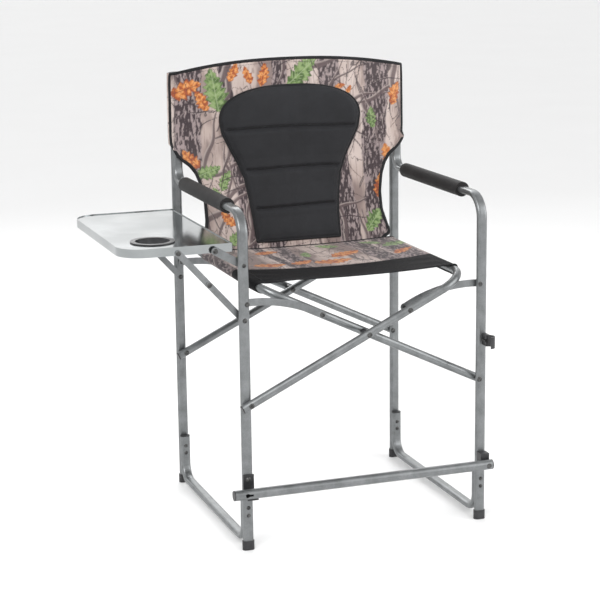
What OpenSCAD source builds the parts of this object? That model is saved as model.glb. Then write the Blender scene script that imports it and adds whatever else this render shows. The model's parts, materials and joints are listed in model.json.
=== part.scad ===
// Tall folding director's chair: two side frames joined by a pair of crossing U-shaped tubes,
// with a sling seat and back, a swing-up footrest bar and a drop-leaf side tray.

/* [Chair] */
// Width across the outside of the legs
frame_width = 620; // [600:1:640]
// Depth across the outside of the legs
frame_depth = 560; // [540:1:580]
// Height of the crown of the back
total_height = 1100; // [1080:1:1120]
// Height of the top of the seat
seat_height = 630; // [620:1:640]
// Depth of the seat, front to rear
seat_depth = 400; // [380:1:404]
// Distance between the centres of the two seat rails
rail_spacing = 500; // [490:1:510]
// Height of the centre of the arm tubes
arm_height = 800; // [790:1:810]

/* [Tubes] */
// Width of the flat-oval frame tube, across the chair
tube_w = 25; // [24:1:28]
// Thickness of the flat-oval frame tube
tube_t = 15; // [14:0.5:16]
// Diameter of the crossing tubes and seat rails
scissor_d = 20; // [18:0.5:20]
// Wall thickness of every tube
wall = 1.2; // [1:0.1:1.5]
// Centreline radius of the seat rail bends
rail_bend = 70; // [60:1:72]

/* [Fold] */
// Height of the lower pivots of the crossing tubes
pivot_height = 355; // [350:1:360]
// How far the crossing tubes turn from open to folded, in degrees
fold_angle = 46; // [40:1:46]

/* [Tray] */
// Width of the tray, out from the chair
tray_w = 258; // [250:1:262]
// Height of the tray's top edge
tray_height = 730; // [720:1:735]
// Inner diameter of the cup holder
cup_d = 80; // [76:1:84]

/* [Footrest] */
// Height of the footrest bar
footrest_height = 150; // [145:1:160]
// Diameter of the footrest bar
footrest_d = 24; // [22:1:24]

/* [Hidden] */
$fn = 64;
STEEL = [0.56, 0.57, 0.58];
BLACK = [0.06, 0.06, 0.065];
FABRIC = [0.52, 0.43, 0.38];

// Legs and layers, measured from the middle of the chair
leg_x = (frame_width - tube_w) / 2;
leg_y = (frame_depth - tube_t) / 2;
leg_front = frame_depth / 2;
leg_back = leg_front - tube_t;
foot_gap = 4.2;

// Scissor: the outer bar runs outside the legs and the inner bar inside them
pivot_x = leg_x - 6;
scissor_r = scissor_d / 2;
outer_y = leg_front + 1 + scissor_r;
inner_y = leg_back - 6 - scissor_r;
rail_x = rail_spacing / 2;
sleeve_wall = 3;
rail_z = seat_height - scissor_r - sleeve_wall;
bar_dx = rail_x + pivot_x;
bar_dz = rail_z - pivot_height;
bar_angle = atan2(bar_dz, bar_dx);
bar_len = norm([bar_dx, bar_dz]);
bar_overhang = 20;
cross_z = pivot_height + pivot_x * tan(bar_angle);

// Links between a leg and the far bar
link_bar_x = 103;
link_bar_s = (pivot_x + link_bar_x) / cos(bar_angle);
cross_s = pivot_x / cos(bar_angle);
link_t = 3.3;
link_w = 17;
link_eye = 18.4;
link_y = leg_back - 1.2 - link_t;
link_rx = (2 * cross_s - link_bar_s);
open_p = [link_rx * cos(bar_angle), link_bar_s * sin(bar_angle)];
shut_p = [link_rx * cos(bar_angle + fold_angle), link_bar_s * sin(bar_angle + fold_angle)];
link_h = (shut_p * shut_p - open_p * open_p) / (2 * (shut_p[1] - open_p[1]));
link_z = pivot_height + link_h;
link_vec = [open_p[0], open_p[1] - link_h];
link_len = norm(link_vec);
link_angle = atan2(link_vec[1], link_vec[0]);
link_sag = 14;

// Arms
arm_bend = 55;
rise_bend = 35;
rise_y = leg_back - 0.3 - tube_t / 2;
rise_top = 880;
arm_rivet_z = 862;
foam_d = 36;
foam_front = -160;
foam_rear = 190;
post_top = 1066;

// Skids
skid_z = 18;
skid_bend = 40;
skid_y = leg_back - 0.3 - tube_t / 2;
skid_top = 128;
skid_rivets = [85, 104];
cap_h = 22;
cap_wall = 2;

// Tray and its stays
tray_in = leg_x + 18;
tray_out = tray_in + tray_w;
tray_rim = 20;
sheet = 1.5;
stay_t = 2.5;
stay_gap = 1.8;
lower_stay_y = link_y - stay_gap - stay_t;
upper_stay_y = lower_stay_y - 0.3 - stay_t;
tray_half = upper_stay_y - 0.5;
tray_corner = 60;
hinge = [-leg_x - 62, tray_height - 15];
bracket_z = 680;
bracket_t = 3;
bracket_y = leg_back - 0.2 - bracket_t;
stay_leg = [-leg_x, 552];
stay_tray = [hinge[0] - 84, hinge[1]];
stay_run = stay_tray - stay_leg;
knee = stay_leg + stay_run * 0.52;
stay_w = 15;
cup = [-478, -160];

// Footrest
footrest_y = outer_y + scissor_r + 3 + footrest_d / 2;
footrest_left = 342;
footrest_right = 308;
plug_neck = 5;
clip_z = 455;
clip_wall = 3;
clip_gap = 0.5;

// Fasteners: a hole is wider than its rivet by the running clearance
rivet_r = 4;
small_r = 3;
clearance = 0.05;
head_h = 2;
end_gap = 0.1;

// Soft parts
back_half = 318;
back_bottom = 616;
sling_t = 4;
pad_t = 16;

// The chair stands with the middle of its whole footprint at the origin
extent_left = -tray_out;
extent_right = back_half;
extent_front = -(footrest_y + footrest_d / 2 + clip_gap + clip_wall);
extent_rear = outer_y + scissor_r + end_gap + head_h;
origin_shift = [-(extent_left + extent_right) / 2, -(extent_front + extent_rear) / 2, 0];

// ---- building blocks ----

module part(c) translate(origin_shift) color(c) children();

module mirror_y(on) mirror([0, on ? 1 : 0, 0]) children();

module half_turn(on) rotate([0, 0, on ? 180 : 0]) children();

module slot_2d(w, t) {
    square([w - t, t], center = true);
    for (s = [-1, 1]) translate([s * (w - t) / 2, 0]) circle(d = t);
}

module flat_tube_2d() difference() {
    slot_2d(tube_w, tube_t);
    slot_2d(tube_w - 2 * wall, tube_t - 2 * wall);
}

module round_tube_2d(d) difference() {
    circle(d = d);
    circle(d = d - 2 * wall);
}

// Flat-oval tube standing up at (x, y)
module upright(x, y, z0, z1) translate([x, y, z0]) linear_extrude(z1 - z0) flat_tube_2d();

// Flat-oval tube lying along Y at (x, z)
module lying(x, z, y0, y1)
    translate([x, y0, z]) rotate([-90, 0, 0]) linear_extrude(y1 - y0) flat_tube_2d();

// Quarter bend in the YZ plane, from angle a (0 is +Y, 90 is up) to a + 90
module elbow(x, y, z, r, a)
    translate([x, y, z]) rotate([90, 0, 90]) rotate([0, 0, a])
        rotate_extrude(angle = 90, start = 0) translate([r, 0]) rotate(90) flat_tube_2d();

// Round hole or pin along Y
module along_y(x, z, y0, y1, r) translate([x, y0, z]) rotate([-90, 0, 0]) cylinder(h = y1 - y0, r = r);

// Rivet along Y between two outer faces, with a chamfered head at each end
module rivet(x, z, y0, y1, r, head = 6.5, h = head_h) translate([x, y0, z]) rotate([-90, 0, 0]) {
    cylinder(h = y1 - y0, r = r);
    translate([0, 0, -h]) cylinder(h = h, r1 = head * 0.6, r2 = head);
    translate([0, 0, y1 - y0]) cylinder(h = h, r1 = head, r2 = head * 0.6);
}

// Rivet with a head on its front end only
module blind_rivet(x, z, y0, y1, r, head = 6.5, h = 1.6) translate([x, y0, z]) rotate([-90, 0, 0]) {
    cylinder(h = y1 - y0, r = r);
    translate([0, 0, -h]) cylinder(h = h, r1 = head * 0.6, r2 = head);
}

// Flat plate of thickness t in the XZ plane, with its front face at y
module plate(y, t) translate([0, y + t, 0]) rotate([90, 0, 0]) linear_extrude(t) children();

// Straight bar with round ends from point a to point b, with a hole of radius ra at a and rb at b
module bar_2d(a, b, w, ra, rb) {
    d = b - a;
    translate(a) rotate(atan2(d[1], d[0])) difference() {
        translate([norm(d) / 2, 0]) slot_2d(norm(d) + w, w);
        circle(r = ra);
        if (rb > 0) translate([norm(d), 0]) circle(r = rb);
    }
}

// ---- side frames ----

module frame_holes(side) {
    sx = side * pivot_x;
    far = leg_front + 30;
    for (y = [-far, leg_back - 30]) {
        along_y(sx, pivot_height, y, y + 60 + tube_t, rivet_r + clearance);
        along_y(sx, link_z, y, y + 60 + tube_t, rivet_r + clearance);
        for (z = skid_rivets) along_y(side * leg_x, z, y, y + 60 + tube_t, small_r + clearance);
        if (side < 0) {
            along_y(stay_leg[0], stay_leg[1], y, y + 60 + tube_t, rivet_r + clearance);
            along_y(-leg_x, bracket_z, y, y + 60 + tube_t, small_r + clearance);
        }
    }
    along_y(side * leg_x, arm_rivet_z, rise_y - 20, leg_front + 10, small_r + clearance);
    if (side < 0) along_y(-leg_x, footrest_height + 24, -far, -leg_back + 10, small_r + clearance);
    if (side > 0) {
        along_y(leg_x, footrest_height, -far, -leg_back + 10, rivet_r + clearance);
        along_y(leg_x, clip_z, -far, -leg_back + 10, small_r + clearance);
    }
}

module front_tube(side) difference() {
    x = side * leg_x;
    union() {
        upright(x, -leg_y, foot_gap, arm_height - arm_bend);
        elbow(x, -leg_y + arm_bend, arm_height - arm_bend, arm_bend, 90);
        lying(x, arm_height, -leg_y + arm_bend, rise_y - rise_bend);
        elbow(x, rise_y - rise_bend, arm_height + rise_bend, rise_bend, 270);
        upright(x, rise_y, arm_height + rise_bend, rise_top);
    }
    frame_holes(side);
}

module rear_post(side) difference() {
    upright(side * leg_x, leg_y, foot_gap, post_top);
    frame_holes(side);
}

module skid(side) difference() {
    x = side * leg_x;
    union() {
        for (s = [0, 1]) mirror_y(s == 1) {
            upright(x, skid_y, skid_z + skid_bend, skid_top);
            elbow(x, skid_y - skid_bend, skid_z + skid_bend, skid_bend, 270);
        }
        lying(x, skid_z, -skid_y + skid_bend, skid_y - skid_bend);
    }
    frame_holes(side);
}

module foot_caps(side) for (s = [-1, 1]) translate([side * leg_x, s * leg_y, 0]) difference() {
    linear_extrude(cap_h) slot_2d(tube_w + 2 * cap_wall, tube_t + 2 * cap_wall);
    translate([0, 0, foot_gap - 0.2]) linear_extrude(cap_h) slot_2d(tube_w + 0.3, tube_t + 0.3);
}

module tube_plug(w, t, h) {
    linear_extrude(h) slot_2d(w, t);
    translate([0, 0, -10]) linear_extrude(10) slot_2d(w - 2 * wall - 0.2, t - 2 * wall - 0.2);
}

module skid_plugs(side) for (s = [-1, 1]) translate([side * leg_x, s * skid_y, skid_top + 0.1])
    tube_plug(tube_w, tube_t, 3);

module skid_rivet_set(side) for (s = [0, 1], z = skid_rivets) mirror_y(s == 1)
    rivet(side * leg_x, z, skid_y - tube_t / 2 - end_gap, leg_front + end_gap, small_r, 5, 1.6);

module arm_foam(side) difference() {
    translate([side * leg_x, foam_front, arm_height]) rotate([-90, 0, 0])
        cylinder(h = foam_rear - foam_front, d = foam_d);
    translate([side * leg_x, foam_front - 1, arm_height]) rotate([-90, 0, 0])
        linear_extrude(foam_rear - foam_front + 2) slot_2d(tube_w + 0.2, tube_t + 0.2);
}

module arm_rivet(side) rivet(side * leg_x, arm_rivet_z, rise_y - tube_t / 2 - end_gap,
    leg_front + end_gap, small_r, 5, 1.6);

module post_cap(side) translate([side * leg_x, leg_y, post_top + 0.1]) tube_plug(tube_w, tube_t, 3);

// ---- scissor: drawn as the tube that pivots on the left legs; the other one is a half turn of it ----

module scissor_place() translate([-pivot_x, 0, pivot_height]) rotate([0, -bar_angle, 0]) children();

module scissor_tube(turned) half_turn(turned) scissor_place() difference() {
    union() {
        for (y = [-outer_y, inner_y]) translate([-bar_overhang, y, 0]) rotate([0, 90, 0])
            linear_extrude(bar_len - rail_bend + bar_overhang) round_tube_2d(scissor_d);
        translate([bar_len - rail_bend, -outer_y + rail_bend, 0]) rotate([0, 0, 270])
            rotate_extrude(angle = 90, start = 0) translate([rail_bend, 0]) round_tube_2d(scissor_d);
        translate([bar_len - rail_bend, inner_y - rail_bend, 0])
            rotate_extrude(angle = 90, start = 0) translate([rail_bend, 0]) round_tube_2d(scissor_d);
        translate([bar_len, -outer_y + rail_bend, 0]) rotate([-90, 0, 0])
            linear_extrude(outer_y + inner_y - 2 * rail_bend) round_tube_2d(scissor_d);
    }
    for (s = [0, cross_s, link_bar_s], y = [-outer_y, inner_y])
        along_y(s, 0, y - scissor_r - 2, y + scissor_r + 2, rivet_r + clearance);
}

module scissor_plugs(turned) half_turn(turned) scissor_place() for (y = [-outer_y, inner_y])
    translate([-bar_overhang - 0.1, y, 0]) rotate([0, -90, 0]) {
        cylinder(h = 2.5, d = scissor_d);
        translate([0, 0, -10]) cylinder(h = 10, d = scissor_d - 2 * wall - 0.2);
    }

// Pins that stand out from a bar to meet the links of the other side frame
module scissor_pins(turned) half_turn(turned) scissor_place() {
    blind_rivet(link_bar_s, 0, -outer_y - scissor_r - end_gap, -link_y - link_t - 0.8, rivet_r);
    blind_rivet(link_bar_s, 0, inner_y - scissor_r - end_gap, inner_y + scissor_r + 0.2, rivet_r);
}

module pivot_rivet_set(turned) half_turn(turned) {
    rivet(-pivot_x, pivot_height, -outer_y - scissor_r - end_gap, -leg_back + end_gap, rivet_r);
    rivet(-pivot_x, pivot_height, inner_y - scissor_r - end_gap, leg_front + end_gap, rivet_r);
}

module crossing(rivets) for (t = [false, true]) half_turn(t) {
    if (rivets) rivet(0, cross_z, -outer_y - scissor_r - end_gap, -inner_y + scissor_r + end_gap, rivet_r);
    else difference() {
        along_y(0, cross_z, -outer_y + scissor_r + 0.3, -inner_y - scissor_r - 0.3, 7.5);
        along_y(0, cross_z, -outer_y, -inner_y, rivet_r + clearance);
    }
}

// ---- links ----

module link_2d() {
    r = (link_len * link_len / 4 + link_sag * link_sag) / (2 * link_sag);
    half = asin(link_len / 2 / r);
    reach = 2 * r;
    difference() {
        union() {
            translate([link_len / 2, link_sag - r]) intersection() {
                difference() {
                    circle(r = r + link_w / 2, $fn = 200);
                    circle(r = r - link_w / 2, $fn = 200);
                }
                polygon([
                    [0, 0],
                    [-reach * sin(half), reach * cos(half)],
                    [reach * sin(half), reach * cos(half)],
                ]);
            }
            circle(d = link_eye);
            translate([link_len, 0]) circle(d = link_eye);
        }
        circle(r = rivet_r + clearance);
        translate([link_len, 0]) circle(r = rivet_r + clearance);
    }
}

module link_pair(turned) half_turn(turned) for (y = [-link_y - link_t, link_y])
    plate(y, link_t) translate([-pivot_x, link_z]) rotate(link_angle) link_2d();

module link_rivet_pair(turned) half_turn(turned) for (y = [-link_y - link_t, link_y])
    blind_rivet(-link_bar_x, link_z + link_vec[1], y - end_gap, y + link_t, rivet_r);

module link_pin_pair(side) for (s = [0, 1]) mirror_y(s == 1)
    rivet(side * pivot_x, link_z, link_y - end_gap, leg_front + end_gap, rivet_r, 6, 1.2);

// ---- tray ----

module tray_2d(inset) {
    r = tray_corner - inset;
    w = tray_w - 2 * inset;
    h = 2 * (tray_half - inset);
    translate([-tray_out + inset, -h / 2]) {
        translate([r, 0]) square([w - r, h]);
        translate([0, r]) square([w, h - 2 * r]);
        for (y = [r, h - r]) translate([r, y]) circle(r = r);
    }
}

module tray_body() difference() {
    union() {
        translate([0, 0, tray_height - tray_rim]) linear_extrude(tray_rim) difference() {
            tray_2d(0);
            tray_2d(sheet);
        }
        translate([0, 0, tray_height - 2 - sheet]) linear_extrude(sheet) tray_2d(sheet);
    }
    for (p = [hinge, stay_tray])
        along_y(p[0], p[1], -tray_half - 5, tray_half + 5, rivet_r + clearance);
    translate([cup[0], cup[1], tray_height - 10]) cylinder(h = 20, r = cup_d / 2 + 3);
}

module cup_ring_body() translate([cup[0], cup[1], 0]) difference() {
    union() {
        translate([0, 0, tray_height - 1.9]) cylinder(h = 2.6, r = cup_d / 2 + 11.5);
        translate([0, 0, tray_height - 16]) cylinder(h = 15, r = cup_d / 2 + 2.5);
    }
    translate([0, 0, tray_height - 20]) cylinder(h = 30, r = cup_d / 2);
}

module both_ends(y, t) for (s = [0, 1]) mirror_y(s == 1) plate(y, t) children();

module tray_bracket_pair() both_ends(bracket_y, bracket_t)
    bar_2d([-leg_x, bracket_z], hinge, 18, small_r + clearance, rivet_r + clearance);

module lower_stay_pair() both_ends(lower_stay_y, stay_t)
    bar_2d(stay_leg, knee, stay_w, rivet_r + clearance, rivet_r + clearance);

module upper_stay_pair() both_ends(upper_stay_y, stay_t)
    bar_2d(stay_tray, knee, stay_w, rivet_r + clearance, 0);

// ---- footrest ----

module footrest_tube() difference() {
    translate([-footrest_left, -footrest_y, footrest_height]) rotate([0, 90, 0])
        linear_extrude(footrest_left + footrest_right) round_tube_2d(footrest_d);
    along_y(leg_x, footrest_height, -footrest_y - 30, -footrest_y + 30, rivet_r + clearance);
    along_y(-leg_x - 16, footrest_height, -footrest_y - 30, -footrest_y, 5);
    translate([-leg_x - 16, -footrest_y - 30, footrest_height - 2.5]) cube([14, 30, 5]);
}

module footrest_plug_pair() for (x = [-footrest_left - 0.1, footrest_right + 0.1])
    translate([x, -footrest_y, footrest_height]) rotate([0, sign(x) * 90, 0]) {
        cylinder(h = 1.9, d = footrest_d);
        translate([0, 0, -plug_neck]) cylinder(h = plug_neck, d = footrest_d - 2 * wall - 0.2);
    }

module bracket_block() difference() {
    translate([leg_x - 11, -footrest_y + footrest_d / 2 + 0.5, footrest_height - 12])
        cube([22, footrest_y - footrest_d / 2 - leg_front - 0.7, 36]);
    along_y(leg_x, footrest_height, -footrest_y, -leg_back, rivet_r + clearance);
}

module saddle_body() {
    r = footrest_d / 2;
    back = footrest_y - leg_front - 0.2;
    difference() {
        union() {
            translate([-leg_x - 13, -leg_front - 4.2, footrest_height - 16]) cube([26, 4, 52]);
            translate([-leg_x - 13, -footrest_y - 2, footrest_height - r - 4]) cube([26, back + 2, 3.5]);
            translate([-leg_x - 13, -footrest_y + r + 0.6, footrest_height - r - 4]) cube([26, 3.5, r]);
        }
        along_y(-leg_x, footrest_height + 24, -footrest_y, -leg_back, small_r + clearance);
    }
}

module clip_body() {
    r = footrest_d / 2 + clip_gap;
    base = footrest_y - leg_front - 0.2;
    difference() {
        union() {
            translate([leg_x, -footrest_y, clip_z - 14]) intersection() {
                cylinder(h = 28, r = r + clip_wall);
                translate([0, -30, 0]) cube([30, 60, 28]);
            }
            translate([leg_x, -footrest_y + r + 0.5, clip_z - 14]) cube([9, base - r - 0.5, 28]);
        }
        translate([leg_x, -footrest_y, clip_z - 20]) cylinder(h = 40, r = r);
        along_y(leg_x, clip_z, -footrest_y, -leg_back, small_r + clearance);
    }
}

// ---- sling ----

// Half-width of the back at a height, as a list of corners from the bottom up
back_side = [
    [222, back_bottom], [234, 630], [256, 637], [252, 660], [243, 700], [243, 745], [250, 790], [268, 826],
    [300, 846], [312, 872], [back_half, 925], [314, 1000], [302, 1060], [290, 1074],
];
crown_steps = 12;
crown = [
    for (i = [1:crown_steps - 1])
        let (u = 1 - 2 * i / crown_steps) [290 * u, 1074 + (total_height - 1074) * (1 - u * u)],
];
back_profile = [
    [185, back_bottom], [187, 634], [214, 700], [233, 780], [243, 850], [246, 925], [246, total_height + 5],
];

module back_outline() polygon(concat(
    back_side, crown, [for (i = [len(back_side) - 1:-1:0]) [-back_side[i][0], back_side[i][1]]]));

// A band of thickness t that follows the back's lean, set forward by an offset
module lean_band(offset_y, t, width) rotate([90, 0, 90]) translate([0, 0, -width / 2])
    linear_extrude(width) polygon(concat(
        [for (p = back_profile) [p[0] - offset_y, p[1]]],
        [for (i = [len(back_profile) - 1:-1:0]) [back_profile[i][0] - offset_y - t, back_profile[i][1]]]));

module back_body() intersection() {
    translate([0, 300, 0]) rotate([90, 0, 0]) linear_extrude(200) back_outline();
    lean_band(0, sling_t, 2 * back_half + 10);
}

pad_side = [
    [112, 640], [115, 700], [120, 745], [129, 800], [145, 840], [166, 880], [184, 915], [188, 945],
    [184, 970], [172, 996], [148, 1014], [100, 1026],
];
module pad_body() intersection() {
    translate([0, 300, 0]) rotate([90, 0, 0]) linear_extrude(200) polygon(concat(
        pad_side, [[0, 1031]], [for (i = [len(pad_side) - 1:-1:0]) [-pad_side[i][0], pad_side[i][1]]]));
    lean_band(sling_t + 0.4, pad_t, 400);
}

// Each sleeve stops where its rail turns into the inner bar
module seat_body() {
    r = scissor_r + 0.3;
    y0 = -outer_y + rail_bend + 1;
    y1 = y0 + seat_depth;
    inner_end = inner_y - rail_bend - 1;
    difference() {
        union() {
            along_y(-rail_x, rail_z, -inner_end, y1, scissor_r + sleeve_wall);
            along_y(rail_x, rail_z, y0, inner_end, scissor_r + sleeve_wall);
            translate([-rail_x, y0, seat_height - 2.6]) cube([2 * rail_x, seat_depth, 2.6]);
        }
        for (s = [-1, 1]) translate([s * rail_x, y0 - 1, rail_z]) rotate([-90, 0, 0])
            cylinder(h = seat_depth + 2, r = r);
    }
}

// ---- nodes ----

module left_front_tube() part(STEEL) front_tube(-1);
module right_front_tube() part(STEEL) front_tube(1);
module left_rear_post() part(STEEL) rear_post(-1);
module right_rear_post() part(STEEL) rear_post(1);
module left_skid() part(STEEL) skid(-1);
module right_skid() part(STEEL) skid(1);
module left_foot_caps() part(BLACK) foot_caps(-1);
module right_foot_caps() part(BLACK) foot_caps(1);
module left_skid_plugs() part(BLACK) skid_plugs(-1);
module right_skid_plugs() part(BLACK) skid_plugs(1);
module left_skid_rivets() part(STEEL) skid_rivet_set(-1);
module right_skid_rivets() part(STEEL) skid_rivet_set(1);
module left_arm_foam() part(BLACK) arm_foam(-1);
module right_arm_foam() part(BLACK) arm_foam(1);
module left_arm_rivet() part(STEEL) arm_rivet(-1);
module right_arm_rivet() part(STEEL) arm_rivet(1);
module left_post_cap() part(BLACK) post_cap(-1);
module right_post_cap() part(BLACK) post_cap(1);
module left_pivot_rivets() part(STEEL) pivot_rivet_set(false);
module right_pivot_rivets() part(STEEL) pivot_rivet_set(true);
module left_link_pins() part(STEEL) link_pin_pair(-1);
module right_link_pins() part(STEEL) link_pin_pair(1);
module left_links() part(STEEL) link_pair(false);
module right_links() part(STEEL) link_pair(true);
module left_link_rivets() part(STEEL) link_rivet_pair(false);
module right_link_rivets() part(STEEL) link_rivet_pair(true);
module scissor_a_tube() part(STEEL) scissor_tube(false);
module scissor_b_tube() part(STEEL) scissor_tube(true);
module scissor_a_plugs() part(BLACK) scissor_plugs(false);
module scissor_b_plugs() part(BLACK) scissor_plugs(true);
module scissor_a_pins() part(STEEL) scissor_pins(false);
module scissor_b_pins() part(STEEL) scissor_pins(true);
module crossing_rivets() part(STEEL) crossing(true);
module crossing_spacers() part(BLACK) crossing(false);
module footrest_bar() part(STEEL) footrest_tube();
module footrest_plugs() part(BLACK) footrest_plug_pair();
module footrest_bracket() part(BLACK) bracket_block();
module footrest_bolt() part(STEEL) rivet(leg_x, footrest_height, -footrest_y - footrest_d / 2 - end_gap,
    -leg_back + end_gap, rivet_r);
module footrest_saddle() part(BLACK) saddle_body();
module saddle_bolt() part(STEEL)
    rivet(-leg_x, footrest_height + 24, -leg_front - 4.3, -leg_back + end_gap, small_r, 6);
module storage_clip() part(BLACK) clip_body();
module clip_screw() part(STEEL)
    along_y(leg_x, clip_z, -footrest_y + footrest_d / 2 + 1, -leg_back + 2, small_r);
module tray_pan() part(STEEL) tray_body();
module cup_ring() part(BLACK) cup_ring_body();
module tray_brackets() part(STEEL) tray_bracket_pair();
module bracket_rivets() part(STEEL) for (s = [0, 1]) mirror_y(s == 1)
    rivet(-leg_x, bracket_z, bracket_y - end_gap, leg_front + end_gap, small_r, 5, 1);
module tray_hinge_pins() part(STEEL) for (s = [0, 1]) mirror_y(s == 1)
    rivet(hinge[0], hinge[1], tray_half - sheet - 0.3, bracket_y + bracket_t + end_gap, rivet_r, 6.5, 1.6);
module tray_lower_stays() part(STEEL) lower_stay_pair();
module tray_upper_stays() part(STEEL) upper_stay_pair();
module stay_leg_pins() part(STEEL) for (s = [0, 1]) mirror_y(s == 1)
    rivet(stay_leg[0], stay_leg[1], lower_stay_y - end_gap, leg_front + end_gap, rivet_r, 6, 1.2);
module stay_spacers() part(STEEL) for (s = [0, 1]) mirror_y(s == 1) difference() {
    along_y(stay_leg[0], stay_leg[1], lower_stay_y + stay_t + 0.2, leg_back - 0.2, 6.5);
    along_y(stay_leg[0], stay_leg[1], lower_stay_y, leg_back + 1, rivet_r + clearance);
}
module stay_tray_pins() part(STEEL) for (s = [0, 1]) mirror_y(s == 1)
    rivet(stay_tray[0], stay_tray[1], tray_half - sheet - 0.3, upper_stay_y + stay_t + end_gap,
        rivet_r, 6, 1.2);
module stay_knee_rivets() part(STEEL) for (s = [0, 1]) mirror_y(s == 1)
    translate([0, 2 * lower_stay_y + stay_t, 0]) mirror([0, 1, 0])
        blind_rivet(knee[0], knee[1], lower_stay_y - end_gap, lower_stay_y + stay_t, rivet_r, 6, 1.2);
module seat_panel() part(FABRIC) seat_body();
module back_panel() part(FABRIC) back_body();
module back_pad() part(BLACK) pad_body();

left_front_tube();
right_front_tube();
left_rear_post();
right_rear_post();
left_skid();
right_skid();
left_foot_caps();
right_foot_caps();
left_skid_plugs();
right_skid_plugs();
left_skid_rivets();
right_skid_rivets();
left_arm_foam();
right_arm_foam();
left_arm_rivet();
right_arm_rivet();
left_post_cap();
right_post_cap();
left_pivot_rivets();
right_pivot_rivets();
left_link_pins();
right_link_pins();
left_links();
right_links();
left_link_rivets();
right_link_rivets();
scissor_a_tube();
scissor_b_tube();
scissor_a_plugs();
scissor_b_plugs();
scissor_a_pins();
scissor_b_pins();
crossing_rivets();
crossing_spacers();
footrest_bar();
footrest_plugs();
footrest_bracket();
footrest_bolt();
footrest_saddle();
saddle_bolt();
storage_clip();
clip_screw();
tray_pan();
cup_ring();
tray_brackets();
bracket_rivets();
tray_hinge_pins();
tray_lower_stays();
tray_upper_stays();
stay_leg_pins();
stay_spacers();
stay_tray_pins();
stay_knee_rivets();
seat_panel();
back_panel();
back_pad();
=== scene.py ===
"""Tall folding director's chair: sling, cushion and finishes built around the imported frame."""
import json
import math

import bpy
import numpy as np
from mathutils import Matrix, Vector


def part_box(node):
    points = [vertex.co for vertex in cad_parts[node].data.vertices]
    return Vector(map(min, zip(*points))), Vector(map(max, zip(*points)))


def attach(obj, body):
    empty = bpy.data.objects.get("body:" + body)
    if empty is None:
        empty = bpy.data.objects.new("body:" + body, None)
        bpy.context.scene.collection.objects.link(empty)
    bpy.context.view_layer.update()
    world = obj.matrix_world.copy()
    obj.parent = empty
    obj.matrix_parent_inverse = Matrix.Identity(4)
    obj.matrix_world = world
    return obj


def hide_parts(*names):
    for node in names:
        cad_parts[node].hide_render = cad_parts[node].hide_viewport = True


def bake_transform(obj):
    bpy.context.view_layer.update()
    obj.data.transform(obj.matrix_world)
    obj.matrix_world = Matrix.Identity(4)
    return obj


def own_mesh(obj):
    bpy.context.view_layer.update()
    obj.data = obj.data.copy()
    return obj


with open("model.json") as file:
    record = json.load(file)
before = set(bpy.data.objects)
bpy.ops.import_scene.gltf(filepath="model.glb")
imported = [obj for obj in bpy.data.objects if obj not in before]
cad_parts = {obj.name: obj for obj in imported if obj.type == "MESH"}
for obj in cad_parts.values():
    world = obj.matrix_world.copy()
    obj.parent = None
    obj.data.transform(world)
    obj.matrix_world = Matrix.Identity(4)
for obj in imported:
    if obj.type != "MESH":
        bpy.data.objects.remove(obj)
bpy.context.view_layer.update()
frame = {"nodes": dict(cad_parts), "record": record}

MM = 0.001

# ---- places read from the frame ----


def middle(*names):
    """Middle of the box round some CAD nodes."""
    boxes = [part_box(n) for n in names]
    low = [min(b[0][k] for b in boxes) for k in range(3)]
    high = [max(b[1][k] for b in boxes) for k in range(3)]
    return Vector([(a + b) / 2 for a, b in zip(low, high)])


LEGS = ("left_front_tube", "right_front_tube", "left_rear_post", "right_rear_post")
CENTRE = middle(*LEGS)
CENTRE.z = 0.0


def at(x, y, z):
    """World point in metres from millimetres measured from the middle of the chair."""
    return Vector((x * MM + CENTRE.x, y * MM + CENTRE.y, z * MM))


def local(v):
    """Millimetres from the middle of the chair."""
    return ((v[0] - CENTRE.x) / MM, (v[1] - CENTRE.y) / MM, v[2] / MM)


# Driving sizes of the sling, in millimetres
SEAT_LOW, SEAT_HIGH = (local(c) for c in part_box("seat_panel"))
BACK_TOP = local(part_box("back_panel")[1])[2]
POST_X = local(middle("right_rear_post"))[0]
POST_REAR = local(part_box("right_rear_post")[1])[1]
RAIL_X = local(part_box("seat_panel")[1])[0] - 13.0
SEAT_TOP = SEAT_HIGH[2]
SLEEVE_LOW = local(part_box("right_front_tube")[1])[2] + 1.5
RAIL_Z = SEAT_TOP - 13.0
WRAP_R = 12.3
BAND = 148.0
CORNER_Z = 1069.5
BACK_LOW = 617.0

# ---- small tools ----


def ramp(x, table):
    """Straight-line interpolation in a short table of (x, value)."""
    xs, ys = zip(*table)
    return np.interp(x, xs, ys)


def smooth(a, b, x):
    """Eased step from 0 at a to 1 at b."""
    t = np.clip((x - a) / (b - a), 0, 1)
    return t * t * (3 - 2 * t)


LATTICE = 64


def value_noise(u, v, seed):
    """Seeded smooth value noise on a unit lattice, from 0 to 1."""
    table = np.random.default_rng(seed).random((LATTICE, LATTICE))
    iu, iv = np.floor(u).astype(int), np.floor(v).astype(int)
    fu, fv = u - iu, v - iv
    fu, fv = fu * fu * (3 - 2 * fu), fv * fv * (3 - 2 * fv)
    u0, u1, v0, v1 = (i % LATTICE for i in (iu, iu + 1, iv, iv + 1))
    low = table[u0, v0] * (1 - fu) + table[u1, v0] * fu
    high = table[u0, v1] * (1 - fu) + table[u1, v1] * fu
    return low * (1 - fv) + high * fv


def fbm(u, v, seed, octaves=4):
    """Layers of value noise, each finer and fainter, from 0 to 1."""
    total, gain, scale = 0.0, 0.5, 1.0
    for k in range(octaves):
        total = total + gain * value_noise(u * scale, v * scale, seed + k)
        gain, scale = gain / 2, scale * 2.03
    return total / (1 - 0.5 ** octaves)


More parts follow.
